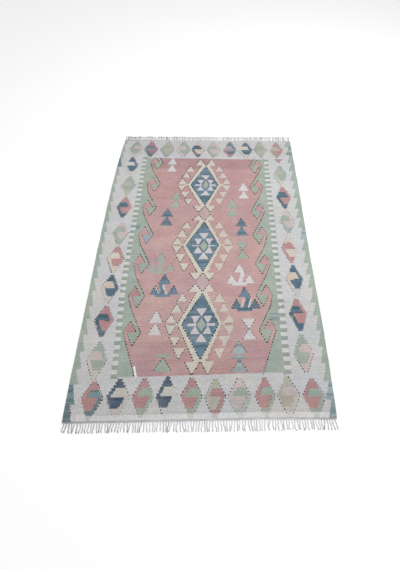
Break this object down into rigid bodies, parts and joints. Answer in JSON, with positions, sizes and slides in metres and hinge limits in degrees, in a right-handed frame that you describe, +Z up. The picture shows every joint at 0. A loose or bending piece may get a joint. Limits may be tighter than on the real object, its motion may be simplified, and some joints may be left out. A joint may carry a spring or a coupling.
{
  "type": "kilim rug",
  "caption": "Flat-woven wool rug laid flat, with a madder field, stepped diamond medallions, a pale diamond border and a fringe across each end.",
  "frame": {"origin": "middle of the underside, on the floor", "axes": "+X across the rug to the right as seen from its near end, +Y along its length to the far end, +Z up"},
  "size_m": [1.5873, 2.58, 0.003],
  "materials": {
    "woven_wool": "matt weft-faced wool tapestry in madder, sage, indigo, cream and undyed grey-white",
    "warp_yarn": "matt undyed plied yarn"
  },
  "bodies": {
    "root": {"cloth": "woven_wool", "near_fringe": "warp_yarn", "far_fringe": "warp_yarn"}
  },
  "joints": []
}
